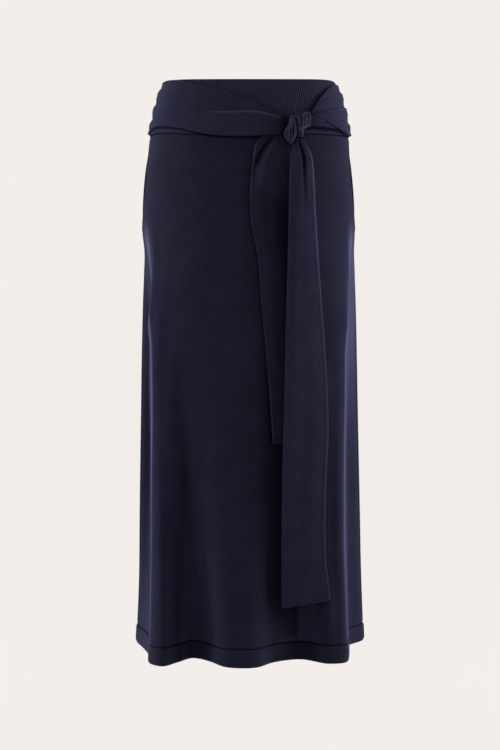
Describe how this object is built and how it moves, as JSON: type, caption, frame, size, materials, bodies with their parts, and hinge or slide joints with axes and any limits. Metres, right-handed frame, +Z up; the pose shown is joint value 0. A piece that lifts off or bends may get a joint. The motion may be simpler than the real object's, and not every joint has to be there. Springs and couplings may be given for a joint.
{
  "type": "wrap-tie skirt",
  "caption": "Long flared knit skirt with a ribbed waistband, side pockets and a wide sash knotted at the front, hollow as if worn.",
  "frame": {"origin": "middle of the waist opening, level with the waistband's top edge, where the wearer's waist holds the skirt", "axes": "+Z up towards the wearer's chest, -Y out of the front, +X to the right of someone who looks at the front"},
  "size_m": [0.3603, 0.2757, 0.8755],
  "materials": {
    "jersey": "soft fine-gauge knit, matt",
    "rib": "rib knit, matt"
  },
  "bodies": {
    "root": {"skirt_front": "jersey", "skirt_back": "jersey", "waistband_front": "rib", "waistband_back": "rib", "hem_band_front": "jersey", "hem_band_back": "jersey", "sash_left": "jersey", "sash_right": "jersey", "sash_knot": "jersey", "sash_tail_long": "jersey", "sash_tail_short": "jersey", "pocket_left": "jersey", "pocket_right": "jersey"}
  },
  "joints": []
}
